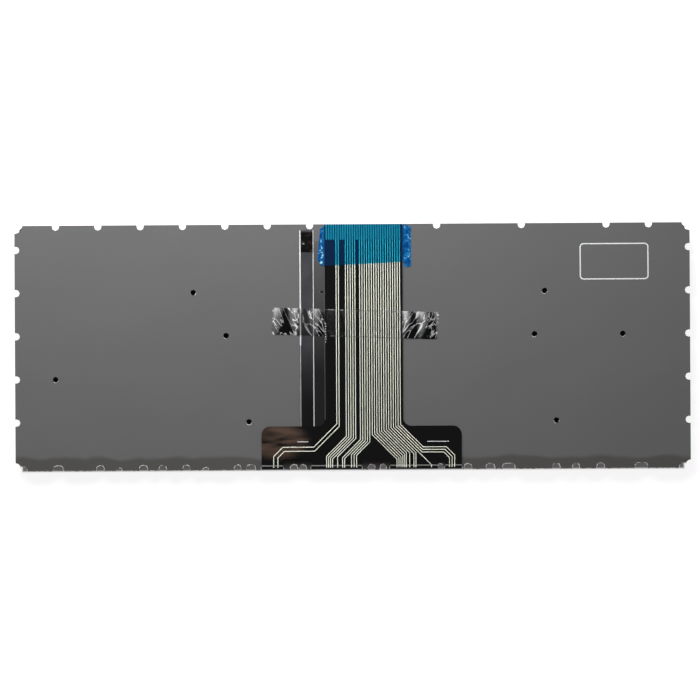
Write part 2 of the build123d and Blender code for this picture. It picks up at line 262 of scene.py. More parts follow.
def split(piece):
    """The piece's separate bodies as objects."""
    pick(piece, "VERT", lambda point: True)
    bpy.ops.mesh.separate(type="LOOSE")
    close()
    return list(bpy.context.selected_objects)


def middle_of(piece):
    """The middle of a piece's box, as x and y."""
    corners = [corner[:] for corner in piece.bound_box]
    return [(min(c[axis] for c in corners) + max(c[axis] for c in corners)) / 2 for axis in (0, 1)]


def width_of(piece):
    """The width of a piece's box along X."""
    return max(corner[0] for corner in piece.bound_box) - min(corner[0] for corner in piece.bound_box)


def places_of(node):
    """The middles of a node's separate bodies, and the width of the first."""
    parts = split(copy_of(node, node + "_places"))
    width = width_of(parts[0])
    spots = [middle_of(part) for part in parts]
    for part in parts:
        bpy.data.objects.remove(part)
    return spots, width


dish_floor = sum(depth for width, depth in DISH_STEPS)
typing_keys = [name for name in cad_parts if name.startswith("key_")]
for key in typing_keys:
    short = key.removeprefix("key_")
    cap = moulded_caps(key, "cap_" + short)
    low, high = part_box(key)
    sign = SIGNS.get(short, short.upper())
    if sign:
        middle = (low + high) / 2
        raised = legend(sign, LEGEND_SIZE, middle.x, middle.y, low.z + dish_floor)
        cap = join([cap, raised], cap.name)
    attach(cap, key)

control_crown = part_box("control_key_caps")[0].z
spots = sorted(places_of("control_key_caps")[0], key=lambda spot: -spot[1])
control_pieces = [moulded_caps("control_key_caps", "control_caps")]
for words in CONTROL_WORDS:
    in_row = sorted(spots[:len(words)], key=lambda spot: (-round(spot[0] / MM), -spot[1]))
    spots = spots[len(words):]
    for word, (x, y) in zip(words, in_row):
        if word:
            control_pieces.append(legend(word, WORD_SIZE, x, y, control_crown + dish_floor))
control_caps = join(control_pieces, "control_caps")
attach(control_caps, "board")


# Key works: under each cap a pair of crossed links, moulded in white acetal, and a silicone dome
# that springs the key back. The domes are bonded to the circuit film, the links hook into
# the plate.
dome_low, dome_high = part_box("rubber_domes")
DOME_SIDES = 18
DOME_RINGS = ((0.25, 0.97), (0.75, 0.66), (0.85, 0.5), (0.55, 0.9))
DOME_SMOOTH = math.radians(50)
LINK_ROUND = 0.12 * MM

# Acetal: dense white, slightly waxy, smooth from the mould.
white_acetal = mottled("white_acetal", 4, ("#D9D9D5", "#E9E9E6"), {"Roughness": 0.4, "IOR": 1.48})

# Silicone rubber: pale, milky and dull, a little darker where it is thin.
pale_silicone = mottled(
    "pale_silicone_rubber", 2, ("#B9BAB6", "#D2D2CE"), {"Roughness": 0.6, "IOR": 1.41}
)


def sprung_dome():
    """One dome, foot on the film and stem towards the cap, drawn out ring by ring."""
    height = dome_high.z - dome_low.z
    reach = sum(rise for rise, scale in DOME_RINGS)
    spots, width = places_of("rubber_domes")
    bpy.ops.mesh.primitive_circle_add(
        vertices=DOME_SIDES, radius=width / 2, fill_type="NGON", location=(0, 0, dome_high.z)
    )
    dome = bpy.context.object
    bpy.ops.object.transform_apply(location=True)
    pick(dome, "FACE", lambda middle, normal: True)
    for rise, scale in DOME_RINGS:
        step = {"value": (0, 0, -height * rise / reach)}
        bpy.ops.mesh.extrude_region_move(TRANSFORM_OT_translate=step)
        bpy.ops.transform.resize(value=(scale, scale, 1))
    bpy.ops.mesh.select_all(action="SELECT")
    bpy.ops.mesh.normals_make_consistent(inside=False)
    close()
    bpy.ops.object.shade_smooth_by_angle(angle=DOME_SMOOTH)
    dome.data.materials.append(pale_silicone)
    return dome, spots


def owner_of(spot):
    """The typing key over a spot, or none for a control key."""
    for key in typing_keys:
        low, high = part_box(key)
        if low.x < spot[0] < high.x and low.y < spot[1] < high.y:
            return key
    return None


links = copy_of("scissor_links", "links")
pick(links, "EDGE", lambda a, b: abs(a.z - b.z) < CROWN_TOLERANCE)
bpy.ops.mesh.bevel(offset=LINK_ROUND, segments=1, affect="EDGES")
close()
links.data.materials.append(white_acetal)
works = {}
for part in split(links):
    works.setdefault(owner_of(middle_of(part)), []).append(part)
dome, dome_spots = sprung_dome()
for spot in dome_spots:
    copied = dome.copy()
    copied.data = dome.data.copy()
    bpy.context.collection.objects.link(copied)
    copied.location = (spot[0], spot[1], 0)
    use(copied)
    bpy.ops.object.transform_apply(location=True)
    works[owner_of(spot)].append(copied)
bpy.data.objects.remove(dome)

for key, parts in works.items():
    under = join(parts, "works_" + (key[4:] if key else "control"))
    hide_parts("rubber_domes", "scissor_links")
    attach(under, "board")
    if key:
        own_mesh(under)


# Base plate: half a millimetre of zinc-coated steel, blanked and pressed, which carries the
# links. Its front edge is turned up against the back sheet as a bright rim that follows the
# notches. Each hole has a bright lip on its front side only, a painted highlight that stands
# for the lit far wall of the hole.
board_low, board_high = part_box("base_plate")
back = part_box("back_sheet")[1].z
RIM_WIRE = 0.15 * MM
NOTCH_REACH = 2.6 * MM
LARGEST_HOLE = 10 * MM
SMALLEST_LIP = 2 * MM
FACING_UP = 0.99

# Zinc-coated steel: a cool grey metal with faint streaks from the rolling mill.
zinc_steel = new_material("zinc_coated_steel")
place = add_node(zinc_steel, "TexCoord").outputs["Object"]
along = add_node(zinc_steel, "Mapping", {"Scale": (0.05, 1.0, 1.0)}, {"Vector": place})
rolled = add_node(zinc_steel, "TexNoise", {"Scale": per_mm(0.6), "Detail": 4.0}, {"Vector": along})
tone = add_node(
    zinc_steel, "Mix", {6: linear("#A9ABAD"), 7: linear("#CBCCCD")}, {0: rolled}, data_type="RGBA"
)
dull = add_node(zinc_steel, "MapRange", {"To Min": 0.28, "To Max": 0.45}, {"Value": rolled})
shell = add_node(
    zinc_steel, "BsdfPrincipled", {"Metallic": 1.0}, {"Base Color": tone.outputs[2], "Roughness": dull}
)
add_node(zinc_steel, "OutputMaterial", links={"Surface": shell})
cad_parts["base_plate"].material_slots[0].material = zinc_steel

# Bare steel edge: half matt where the die has cut it; its uneven patches of dull grey and near white are
# painted glints.
bare_edge = new_material("bare_steel_edge")
place = add_node(bare_edge, "TexCoord").outputs["Object"]
cut = add_node(bare_edge, "TexNoise", {"Scale": per_mm(1.8)}, {"Vector": place})
# Painted glints: the noise switches the edge between dull grey and near white in short runs.
painted_edge_glints = add_node(bare_edge, "MapRange", {"From Min": 0.38, "From Max": 0.56}, {"Value": cut})
tone = add_node(
    bare_edge, "Mix", {6: linear("#6E6866"), 7: linear("#FFFAF6")}, {0: painted_edge_glints}, data_type="RGBA"
)
shell = add_node(
    bare_edge, "BsdfPrincipled", {"Metallic": 0.3, "Roughness": 0.45}, {"Base Color": tone.outputs[2]}
)
add_node(bare_edge, "OutputMaterial", links={"Surface": shell})

outline = copy_of("back_sheet", "sheet_outline")
pick(outline, "FACE", lambda middle, normal: normal.z > FACING_UP and middle.z > back - CROWN_TOLERANCE)
bpy.ops.mesh.region_to_loop()
bpy.ops.mesh.select_all(action="INVERT")
bpy.ops.mesh.delete(type="EDGE")
close()
rims = split(outline)
# Holes keep only the front half of their rim, shifted onto the sheet as a bright lip, which is painted
# highlight; the smallest holes keep none, and the sheet's outline keeps only its run along the front
# edge.
for loop in rims:
    limit = middle_of(loop)[1]
    outwards = -RIM_WIRE
    if width_of(loop) < SMALLEST_LIP:
        limit = board_low.y
    elif width_of(loop) > LARGEST_HOLE:
        limit = board_low.y + NOTCH_REACH
        outwards = RIM_WIRE
    pick(loop, "EDGE", lambda a, b: max(a.y, b.y) > limit)
    bpy.ops.mesh.delete(type="EDGE")
    bpy.ops.mesh.select_all(action="SELECT")
    bpy.ops.transform.translate(value=(0, outwards, -RIM_WIRE / 2))
    close()
bright_rims = join(rims, "bright_rims")
bpy.ops.object.convert(target="CURVE")
bright_rims.data.bevel_depth = RIM_WIRE
bright_rims.data.bevel_resolution = 1
bright_rims.data.use_fill_caps = True
bpy.ops.object.convert(target="MESH")
bright_rims.data.materials.clear()
bright_rims.data.materials.append(bare_edge)
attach(bright_rims, "board")


# Light guide and lamp strip: a clear acrylic sheet between plate and back, and in a slot of it
# a white film with six small lamps that light it from the edge.
# Acrylic: water clear, a little hazy from the printed dots that send the light out.
clear_acrylic = new_material("clear_acrylic")
place = add_node(clear_acrylic, "TexCoord").outputs["Object"]
dots = add_node(clear_acrylic, "TexVoronoi", {"Scale": per_mm(0.8)}, {"Vector": place})
haze = add_node(
    clear_acrylic, "MapRange", {"To Min": 0.2, "To Max": 0.4}, {"Value": dots.outputs["Distance"]}
)
shell = add_node(
    clear_acrylic,
    "BsdfPrincipled",
    {"Base Color": linear("#E6EAEA"), "IOR": 1.49, "Transmission Weight": 0.6},
    {"Roughness": haze},
)
add_node(clear_acrylic, "OutputMaterial", links={"Surface": shell})
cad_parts["light_guide"].material_slots[0].material = clear_acrylic

# Lamp film: white solder resist on polyester, a little uneven where it was printed.
white_resist = mottled("white_resist_film", 1.2, ("#DCDDD8", "#ECECE8"), {"Roughness": 0.5, "IOR": 1.5})
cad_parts["led_strip"].material_slots[0].material = white_resist


# Back sheet: a quarter millimetre of dark grey polyester, die cut with its notches and holes and
# stuck over the light guide. It is satin, slightly dented by the keys' works beneath.
LABEL_X = 111.35 * MM
LABEL_Y = 35.85 * MM
LABEL_WIDTH = 29.3 * MM
LABEL_DEPTH = 15.5 * MM
LABEL_ROUND = 1.7 * MM
LABEL_LINE = 0.5 * MM
INK_THICK = 0.02 * MM
# Sizes of the painted shade along the front edge and of the painted shadow between the tail's legs.
FRONT_BAND = 6.5 * MM
SOLID_BAND = 0.65 * FRONT_BAND
LEG_SHADOW_FADE = 0.5 * FRONT_BAND
BAND_WANDER = 5 * MM
LEGS_MIDDLE = 3.6 * MM
LEGS_HALF = 42.5 * MM

# Satin polyester: fine matt grain and broad soft dents. A darker band with a ragged upper edge
# runs along the front edge, which is painted shade; between the legs of the tail it turns near
# black, a painted shadow of the tail's foot that is a little lighter at the very edge.
satin_polyester = new_material("satin_polyester_sheet")
place = add_node(satin_polyester, "TexCoord").outputs["Object"]
grain = add_node(satin_polyester, "TexNoise", {"Scale": per_mm(0.4), "Detail": 2.0}, {"Vector": place})
dents = add_node(
    satin_polyester,
    "TexNoise",
    {"Scale": per_mm(38), "Detail": 1.0, "Roughness": 0.4},
    {"Vector": place},
)
fine = add_node(satin_polyester, "Bump", {"Strength": 0.12, "Distance": 0.01 * MM}, {"Height": grain})
broad = add_node(
    satin_polyester, "Bump", {"Strength": 0.5, "Distance": 1.2 * MM}, {"Height": dents, "Normal": fine}
)
apart = add_node(satin_polyester, "SeparateXYZ", links={"Vector": place})
ragged = add_node(satin_polyester, "TexNoise", {"Scale": per_mm(16), "Detail": 2.0}, {"Vector": place})
shift = add_node(
    satin_polyester,
    "Math",
    {1: BAND_WANDER, 2: -BAND_WANDER / 2},
    {0: ragged},
    operation="MULTIPLY_ADD",
)
edge = add_node(satin_polyester, "Math", links={0: apart.outputs["Y"], 1: shift}, operation="ADD")
# Painted shade: the darker band along the front edge, its upper edge made ragged by the noise.
band = add_node(
    satin_polyester,
    "MapRange",
    {"From Min": board_low.y + FRONT_BAND, "From Max": board_low.y + SOLID_BAND},
    {"Value": edge},
    interpolation_type="SMOOTHSTEP",
)
bare = add_node(
    satin_polyester, "Mix", {6: linear("#656565"), 7: linear("#52514F")}, {0: band}, data_type="RGBA"
)
# Painted shadow of the tail's foot: inside the legs' span the band turns near black, less so at the
# front edge.
from_legs = add_node(
    satin_polyester, "Math", {1: LEGS_MIDDLE}, {0: apart.outputs["X"]}, operation="SUBTRACT"
)
aside = add_node(satin_polyester, "Math", links={0: from_legs}, operation="ABSOLUTE")
by_legs = add_node(satin_polyester, "Math", {1: LEGS_HALF}, {0: aside}, operation="LESS_THAN")
leg_shadow_fade = add_node(
    satin_polyester,
    "MapRange",
    {"From Min": board_low.y, "From Max": board_low.y + LEG_SHADOW_FADE, "To Min": 0.4},
    {"Value": apart.outputs["Y"]},
)
in_band = add_node(satin_polyester, "Math", links={0: by_legs, 1: band}, operation="MULTIPLY")
painted_leg_shadow = add_node(satin_polyester, "Math", links={0: in_band, 1: leg_shadow_fade}, operation="MULTIPLY")
tone = add_node(
    satin_polyester, "Mix", {7: linear("#120F0D")}, {0: painted_leg_shadow, 6: bare.outputs[2]}, data_type="RGBA"
)
dull = add_node(satin_polyester, "MapRange", {"To Min": 0.4, "To Max": 0.5}, {"Value": grain})
shell = add_node(
    satin_polyester,
    "BsdfPrincipled",
    {"IOR": 1.57},
    {"Base Color": tone.outputs[2], "Roughness": dull, "Normal": broad},
)
add_node(satin_polyester, "OutputMaterial", links={"Surface": shell})
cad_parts["back_sheet"].material_slots[0].material = satin_polyester

# Screen ink: flat white, thin enough for the sheet to grey it a little.
white_ink = mottled("white_screen_ink", 0.7, ("#D8D8D8", "#F2F2F2"), {"Roughness": 0.55, "IOR": 1.5})

bpy.ops.object.select_all(action="DESELECT")
bpy.ops.mesh.primitive_plane_add(size=1, location=(LABEL_X, LABEL_Y, back))
label = bpy.context.object
label.name = "label_outline"
label.scale = (LABEL_WIDTH, LABEL_DEPTH, 1)
bpy.ops.object.transform_apply(location=True, rotation=True, scale=True)
pick(label, "VERT", lambda point: True)
bpy.ops.mesh.bevel(offset=LABEL_ROUND, segments=8, affect="VERTICES")
bpy.ops.mesh.select_mode(type="FACE")
bpy.ops.mesh.inset(thickness=LABEL_LINE)
bpy.ops.mesh.delete(type="FACE")
bpy.ops.mesh.select_all(action="SELECT")
bpy.ops.mesh.extrude_region_move(TRANSFORM_OT_translate={"value": (0, 0, INK_THICK)})
bpy.ops.mesh.select_all(action="SELECT")
bpy.ops.mesh.normals_make_consistent(inside=False)
close()
label.data.materials.append(white_ink)
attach(label, "board")


# Backlight ribbon: a flat cable of smoked polyester film with a tinned conductor along each edge.
# It comes up through a slit under the tail's foot and runs to the rear edge, where its end is
# stiffened with a glossy black pad. Its lower part is darkened with painted shade, and a thin dark
# strip laid on the sheet between it and the tail is painted shade too.
ribbon_low, ribbon_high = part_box("backlight_ribbon")
LEFT_WIRE_X = -22.1 * MM
RIGHT_WIRE_X = -16.55 * MM
LEFT_WIDTH = 0.56 * MM
WIRE_WIDTH = 0.3 * MM
FAINT_WIDTH = 0.16 * MM
BRIGHT_END = 0.8 * MM
FOOT_EDGE = -33.6 * MM
SHADE_START = 18 * MM
SHADE_FULL = -28 * MM
PAD_REAR = 48.9 * MM
PAD_FRONT = 40.4 * MM
PAD_THICK = 0.06 * MM
PAD_CELL = 0.4 * MM
PAD_FOLD = 2.2 * MM
PAD_CREASE = 0.6 * MM
PAD_SMOOTH_END = -19 * MM
PAD_SMOOTH_SHARE = 0.1
FILM_SMOOTH = math.radians(40)

# Smoked polyester: grey at the rear; towards the slit it darkens to near black, which is painted
# shade, and its gloss shows more there.
smoked_film = new_material("smoked_polyester_film")
place = add_node(smoked_film, "TexCoord").outputs["Object"]
apart = add_node(smoked_film, "SeparateXYZ", links={"Vector": place})
# Painted shade: the film darkens from grey to near black towards the slit.
depth = add_node(
    smoked_film,
    "MapRange",
    {"From Min": SHADE_START, "From Max": SHADE_FULL},
    {"Value": apart.outputs["Y"]},
    interpolation_type="SMOOTHSTEP",
)
cloud = add_node(smoked_film, "TexNoise", {"Scale": per_mm(7), "Detail": 1.0}, {"Vector": place})
pale = add_node(
    smoked_film, "Mix", {6: linear("#343436"), 7: linear("#4C4C50")}, {0: cloud}, data_type="RGBA"
)
tone = add_node(
    smoked_film, "Mix", {7: linear("#141415")}, {0: depth, 6: pale.outputs[2]}, data_type="RGBA"
)
waves = add_node(smoked_film, "Bump", {"Strength": 0.25, "Distance": 0.2 * MM}, {"Height": cloud})
shell = add_node(
    smoked_film,
    "BsdfPrincipled",
    {"Roughness": 0.25, "IOR": 1.57},
    {"Base Color": tone.outputs[2], "Normal": waves},
)
add_node(smoked_film, "OutputMaterial", links={"Surface": shell})
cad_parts["backlight_ribbon"].material_slots[0].material = smoked_film


def printed_lines(lines, width, z, name):
    """Flat lines along runs of points, low and rounded, half sunk in the face at height z."""
    path = bpy.data.curves.new(name, "CURVE")
    path.dimensions = "3D"
    path.twist_mode = "Z_UP"
    path.bevel_depth = width / 2
    path.bevel_resolution = 1
    path.use_fill_caps = True
    for line in lines:
        spline = path.splines.new("POLY")
        spline.points.add(len(line) - 1)
        for point, (x, y) in zip(spline.points, line):
            point.co = (x, y, 0, 1)
    piece = bpy.data.objects.new(name, path)
    bpy.context.collection.objects.link(piece)
    use(piece)
    bpy.ops.object.convert(target="MESH")
    piece.scale = (1, 1, 2 * INK_THICK / width)
    piece.location = (0, 0, z)
    bpy.ops.object.transform_apply(location=True, rotation=True, scale=True)
    return piece


left_wire = [[(LEFT_WIRE_X, ribbon_high.y), (LEFT_WIRE_X, BRIGHT_END)]]
right_wire = [[(RIGHT_WIRE_X, ribbon_high.y), (RIGHT_WIRE_X, FOOT_EDGE)]]
faint_end = [[(LEFT_WIRE_X, BRIGHT_END), (LEFT_WIRE_X, FOOT_EDGE)]]
wires = join(
    [
        printed_lines(left_wire, LEFT_WIDTH, ribbon_high.z, "left_wire"),
        printed_lines(right_wire, WIRE_WIDTH, ribbon_high.z, "right_wire"),
        printed_lines(faint_end, FAINT_WIDTH, ribbon_high.z, "faint_wire"),
    ],
    "ribbon_conductors",
)

# Tinned copper: bright and white, slightly uneven from the hot dip.
tinned_copper = new_material("tinned_copper")
place = add_node(tinned_copper, "TexCoord").outputs["Object"]
dip = add_node(tinned_copper, "TexNoise", {"Scale": per_mm(2.5)}, {"Vector": place})
dull = add_node(tinned_copper, "MapRange", {"To Min": 0.4, "To Max": 0.6}, {"Value": dip})
tone = add_node(
    tinned_copper, "Mix", {6: linear("#E2E0DE"), 7: linear("#FFFFFF")}, {0: dip}, data_type="RGBA"
)
shell = add_node(
    tinned_copper,
    "BsdfPrincipled",
    {"Metallic": 0.1},
    {"Base Color": tone.outputs[2], "Roughness": dull},
)
add_node(tinned_copper, "OutputMaterial", links={"Surface": shell})
wires.data.materials.append(tinned_copper)
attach(wires, "board")


def flat_film(name, low_x, high_x, low_y, high_y, z, cell):
    """A flat grid of square cells at height z, to be shaped further."""
    bpy.ops.object.select_all(action="DESELECT")
    bpy.ops.mesh.primitive_grid_add(
        x_subdivisions=max(1, round((high_x - low_x) / cell)),
        y_subdivisions=max(1, round((high_y - low_y) / cell)),
        size=1,
    )
    film = bpy.context.object
    film.name = name
    film.scale = (high_x - low_x, high_y - low_y, 1)
    film.location = ((low_x + high_x) / 2, (low_y + high_y) / 2, z)
    bpy.ops.object.transform_apply(location=True, rotation=True, scale=True)
    return film


def crumple(film, size, height, where):
    """Raises creases about size apart and up to height high in the part of a film that is loose."""
    use(film)
    loose = film.vertex_groups.new(name="loose")
    for point in film.data.vertices:
        loose.add([point.index], where(point.co), "REPLACE")
    folds = bpy.data.textures.new(film.name + "_folds", "VORONOI")
    folds.noise_scale = size
    folds.weight_1 = -1.0
    folds.weight_2 = 1.0
    creased = film.modifiers.new("creased", "DISPLACE")
    creased.texture = folds
    creased.direction = "Z"
    creased.strength = height
    creased.mid_level = 0.0
    creased.vertex_group = "loose"
    bpy.ops.object.modifier_apply(modifier=creased.name)


def thicken(film, thick):
    """Gives a film its thickness, upwards, and smooths its shading."""
    use(film)
    body = film.modifiers.new("body", "SOLIDIFY")
    body.thickness = thick
    body.offset = 1.0
    bpy.ops.object.modifier_apply(modifier=body.name)
    bpy.ops.object.shade_smooth_by_angle(angle=FILM_SMOOTH)


# Glossy black pad: hard and slightly wavy, with a painted brownish sheen in patches and a few
# painted white glints.
gloss_black = new_material("gloss_black_coating")
place = add_node(gloss_black, "TexCoord").outputs["Object"]
ripple = add_node(gloss_black, "TexNoise", {"Scale": per_mm(1.6), "Detail": 2.0}, {"Vector": place})
scuff = add_node(gloss_black, "MapRange", {"To Min": 0.08, "To Max": 0.3}, {"Value": ripple})
# Painted sheen and painted glints: the ripple noise lifts the black to brownish grey and, at its peaks,
# to white.
pad_sheen_mask = add_node(gloss_black, "MapRange", {"From Min": 0.52, "From Max": 0.68}, {"Value": ripple})
pad_glint_mask = add_node(gloss_black, "MapRange", {"From Min": 0.72, "From Max": 0.76}, {"Value": ripple})
black_with_sheen = add_node(
    gloss_black, "Mix", {6: linear("#0E0D0D"), 7: linear("#2E2826")}, {0: pad_sheen_mask}, data_type="RGBA"
)
tone = add_node(
    gloss_black, "Mix", {7: linear("#E0DEDC")}, {0: pad_glint_mask, 6: black_with_sheen.outputs[2]}, data_type="RGBA"
)
waves = add_node(gloss_black, "Bump", {"Strength": 0.5, "Distance": 0.2 * MM}, {"Height": ripple})
shell = add_node(
    gloss_black,
    "BsdfPrincipled",
    {"IOR": 1.5},
    {"Base Color": tone.outputs[2], "Roughness": scuff, "Normal": waves},
)
add_node(gloss_black, "OutputMaterial", links={"Surface": shell})
pad = flat_film(
    "ribbon_pad",
    LEFT_WIRE_X + LEFT_WIDTH / 2,
    RIGHT_WIRE_X - WIRE_WIDTH / 2,
    PAD_FRONT,
    PAD_REAR,
    ribbon_high.z,
    PAD_CELL,
)
crumple(pad, PAD_FOLD, PAD_CREASE, lambda point: 1.0 if point.x > PAD_SMOOTH_END else PAD_SMOOTH_SHARE)
thicken(pad, PAD_THICK)
pad.data.materials.append(gloss_black)
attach(pad, "board")

# Strip of painted shade: a thin dark film between ribbon and tail, grey like the sheet at its
# rear end and near black towards the foot, with an opening at the peg hole.
BRIDGE_REAR = 45 * MM
BRIDGE_DARK = -10 * MM
BRIDGE_RIGHT = -11.9 * MM
BRIDGE_THICK = 0.015 * MM
BRIDGE_CELL = 0.62 * MM
PEG_X = -12.95 * MM
PEG_Y = 23.5 * MM
shade_strip_paint = new_material("painted_shade_strip_film")
place = add_node(shade_strip_paint, "TexCoord").outputs["Object"]
apart = add_node(shade_strip_paint, "SeparateXYZ", links={"Vector": place})
# Painted shade: grey like the sheet at the rear end, near black towards the foot.
depth = add_node(
    shade_strip_paint,
    "MapRange",
    {"From Min": BRIDGE_REAR, "From Max": BRIDGE_DARK},
    {"Value": apart.outputs["Y"]},
)
tone = add_node(
    shade_strip_paint, "Mix", {6: linear("#565656"), 7: linear("#1F1F20")}, {0: depth}, data_type="RGBA"
)
dull = add_node(shade_strip_paint, "MapRange", {"To Min": 0.45, "To Max": 0.25}, {"Value": depth})
shell = add_node(
    shade_strip_paint, "BsdfPrincipled", {"IOR": 1.5}, {"Base Color": tone.outputs[2], "Roughness": dull}
)
add_node(shade_strip_paint, "OutputMaterial", links={"Surface": shell})
shade_strip = flat_film(
    "painted_shade_strip", ribbon_high.x, BRIDGE_RIGHT, FOOT_EDGE, BRIDGE_REAR, back, BRIDGE_CELL
)
pick(shade_strip, "FACE", lambda middle, normal: math.hypot(middle.x - PEG_X, middle.y - PEG_Y) < BRIDGE_CELL)
bpy.ops.mesh.delete(type="FACE")
close()
thicken(shade_strip, BRIDGE_THICK)
shade_strip.data.materials.append(shade_strip_paint)
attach(shade_strip, "board")


# Circuit tail: black polyester film, folded round the front edge in four legs and laid back over
# the sheet. Its silver tracks show through a cream lacquer and run up to a comb of contacts.
tail_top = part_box("circuit_film")[1].z
CONTACTS = 32
CONTACT_PITCH = 1.0 * MM
FIRST_CONTACT = -10.85 * MM
TRACK_WIDTH = 0.35 * MM
CONTACT_WIDTH = 0.7 * MM
COMB_TOP = 52.2 * MM
COMB_END = 45.65 * MM
FOLD_LINE = -51.2 * MM
CREASE_LINE = -50.35 * MM
CREASE_HALF = 0.3 * MM
CREASE_CORE = 0.1 * MM
BROWN_MIDDLE = (-32 * MM, -40 * MM, 0)
BROWN_REACH = (14 * MM, 8 * MM, 1)

# Black polyester film: deep black and glossy. One end of the foot has a streaky brownish painted
# reflection, and a pale line along the bend of the legs is a painted highlight.
black_film = new_material("black_polyester_film")
place = add_node(black_film, "TexCoord").outputs["Object"]
apart = add_node(black_film, "SeparateXYZ", links={"Vector": place})
cast = add_node(black_film, "TexNoise", {"Scale": per_mm(30)}, {"Vector": place})
foot_end = add_node(
    black_film,
    "Mapping",
    {"Location": BROWN_MIDDLE, "Scale": BROWN_REACH},
    {"Vector": place},
    vector_type="TEXTURE",
)
flat_spread = add_node(black_film, "VectorMath", {1: (1, 1, 0)}, {0: foot_end}, operation="MULTIPLY")
spread = add_node(black_film, "VectorMath", links={0: flat_spread}, operation="LENGTH")
near_end = add_node(
    black_film,
    "MapRange",
    {"From Min": 1.1, "From Max": 0.6},
    {"Value": spread.outputs["Value"]},
    interpolation_type="SMOOTHSTEP",
)
stretched = add_node(black_film, "Mapping", {"Scale": (0.22, 1.0, 1.0)}, {"Vector": place})
swirl = add_node(
    black_film,
    "TexNoise",
    {"Scale": per_mm(4), "Detail": 3.0, "Distortion": 0.8},
    {"Vector": stretched},
)
streaks = add_node(black_film, "MapRange", {"From Min": 0.3, "From Max": 0.64}, {"Value": swirl})
# Painted reflection: brownish streaks near one end of the foot.
brown = add_node(black_film, "Math", links={0: near_end, 1: streaks}, operation="MULTIPLY")
coating = add_node(
    black_film, "Mix", {6: linear("#0F0F0F"), 7: linear("#55443A")}, {0: brown}, data_type="RGBA"
)
# Painted highlight: a pale line along the bend of the legs.
from_crease = add_node(
    black_film, "Math", {1: CREASE_LINE}, {0: apart.outputs["Y"]}, operation="SUBTRACT"
)
off_crease = add_node(black_film, "Math", links={0: from_crease}, operation="ABSOLUTE")
crease = add_node(
    black_film, "MapRange", {"From Min": CREASE_HALF, "From Max": CREASE_CORE}, {"Value": off_crease}
)
tone = add_node(
    black_film, "Mix", {7: linear("#8C8A88")}, {0: crease, 6: coating.outputs[2]}, data_type="RGBA"
)
waves = add_node(black_film, "Bump", {"Strength": 0.2, "Distance": 0.3 * MM}, {"Height": cast})
shell = add_node(
    black_film,
    "BsdfPrincipled",
    {"Roughness": 0.16, "IOR": 1.57},
    {"Base Color": tone.outputs[2], "Normal": waves},
)
add_node(black_film, "OutputMaterial", links={"Surface": shell})
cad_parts["circuit_film"].material_slots[0].material = black_film
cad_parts["tail_stiffener"].material_slots[0].material = white_resist

# Lacquered silver track: cream, half matt, slightly mottled.
cream_lacquer = mottled(
    "cream_lacquered_silver", 2, ("#EEF0DE", "#FBFDEC"), {"Roughness": 0.4, "IOR": 1.5}
)

# Silver ink of the bare contacts: pale grey, half matt.
silver_ink = mottled(
    "silver_contact_ink", 1, ("#A6A8A2", "#BABCB6"), {"Metallic": 0.1, "Roughness": 0.4}
)


def contact_x(number):
    """The line of a contact, counted from the left."""
    return FIRST_CONTACT + number * CONTACT_PITCH


def plain_track(number, bend, end):
    """Down the strip, slanting at 45 degrees from the bend to its end line, and on to the fold."""
    x = contact_x(number)
    return [(x, COMB_END), (x, bend), (end, bend - abs(end - x)), (end, FOLD_LINE)]


def stepped_track(number, bend, level, corner, end):
    """The same with a level run between two slants, for the outer legs."""
    x = contact_x(number)
    turn = x + math.copysign(bend - level, end - x)
    fall = level - abs(end - corner)
    return [(x, COMB_END), (x, bend), (turn, level), (corner, level), (end, fall), (end, FOLD_LINE)]


# The outer tracks as contact, bend, level run, corner and end line; the others by their end lines.
OUTER_TRACKS_MM = (
    (4, -32.6, -42.5, -29.9, -33.8),
    (5, -33.7, -44.2, -29.2, -32.0),
    (29, -33.7, -44.8, 38.5, 40.9),
    (30, -33.4, -43.7, 39.0, 42.0),
    (31, -33.0, -42.6, 39.6, 43.1),
)
LEFT_ENDS_MM = {
    8: -11.3, 9: -10.45, 10: -9.6, 11: -8.75, 12: -6.6, 14: -4.5, 15: -3.65, 16: -0.7, 17: 0.4, 18: 1.45
}
RIGHT_ENDS_MM = {
    19: 18.6, 20: 19.45, 21: 20.3, 22: 21.1, 23: 21.9, 24: 22.6, 25: 24.0, 26: 25.8, 27: 26.65, 28: 33.3
}
LEFT_BEND_MM = -37.9
LEFT_BEND_STEP_MM = -0.245
RIGHT_BEND_MM = -37.3
RIGHT_BEND_STEP_MM = 0.355
tracks = [stepped_track(number, *[size * MM for size in sizes]) for number, *sizes in OUTER_TRACKS_MM]
for ends, bend, step in (
    (LEFT_ENDS_MM, LEFT_BEND_MM, LEFT_BEND_STEP_MM),
    (RIGHT_ENDS_MM, RIGHT_BEND_MM, RIGHT_BEND_STEP_MM),
):
    for number, end in ends.items():
        tracks.append(plain_track(number, (bend + step * (number - min(ends))) * MM, end * MM))

printed = printed_lines(tracks, TRACK_WIDTH, tail_top, "tracks")
printed.data.materials.append(cream_lacquer)
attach(printed, "board")

comb_lines = [
    [(contact_x(number), COMB_TOP), (contact_x(number), COMB_END)] for number in range(CONTACTS)
]
comb = printed_lines(comb_lines, CONTACT_WIDTH, tail_top, "contacts")
comb.data.materials.append(silver_ink)
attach(comb, "board")

